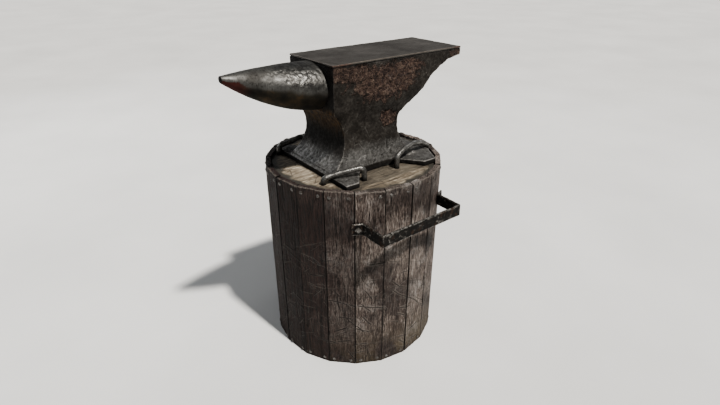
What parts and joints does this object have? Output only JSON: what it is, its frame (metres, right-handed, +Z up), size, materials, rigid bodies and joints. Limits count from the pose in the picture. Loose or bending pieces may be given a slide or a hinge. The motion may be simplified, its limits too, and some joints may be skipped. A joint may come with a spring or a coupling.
{
  "type": "anvil on stump",
  "caption": "Blacksmith's anvil with a round horn, standing on a round wooden stump clad in flat staves, held by bent iron staples, with an iron tool rail on one side.",
  "frame": {"origin": "centre of the underside of the stump, on the floor", "axes": "+Z up, the horn points along -X and the heel along +X, and the tool rail is on the -Y side"},
  "size_m": [0.6011, 0.4893, 0.7526],
  "materials": {
    "anvil_iron": "dark weathered forged iron, pitted, with rust patches and worn brighter edges",
    "face_steel": "dull brown-grey steel, finely scratched",
    "horn_steel": "smooth dented steel, shiny on top, brown underneath",
    "stave_wood": "dark weathered boards with gouges, grey worn edges",
    "core_wood": "warm tan end of the core, darker at its edges",
    "staple_iron": "bright worn round bar, slightly ridged",
    "rail_iron": "black strap iron, chipped to grey along its edges",
    "fastener_steel": "dull grey heads"
  },
  "bodies": {
    "root": {"anvil_body": "anvil_iron", "face_plate": "face_steel", "horn": "horn_steel", "stump_core": "core_wood", "stave_01": "stave_wood", "stave_02": "stave_wood", "stave_03": "stave_wood", "stave_04": "stave_wood", "stave_05": "stave_wood", "stave_06": "stave_wood", "stave_07": "stave_wood", "stave_08": "stave_wood", "stave_09": "stave_wood", "stave_10": "stave_wood", "stave_11": "stave_wood", "stave_12": "stave_wood", "stave_13": "stave_wood", "stave_14": "stave_wood", "stave_15": "stave_wood", "stave_16": "stave_wood", "stave_17": "stave_wood", "stave_18": "stave_wood", "stave_19": "stave_wood", "stave_20": "stave_wood", "top_nails": "fastener_steel", "bottom_nails": "fastener_steel", "staple_horn_near": "staple_iron", "staple_heel_near": "staple_iron", "staple_horn_far": "staple_iron", "staple_heel_far": "staple_iron", "tool_rail": "rail_iron", "rail_bolts": "fastener_steel"}
  },
  "joints": []
}
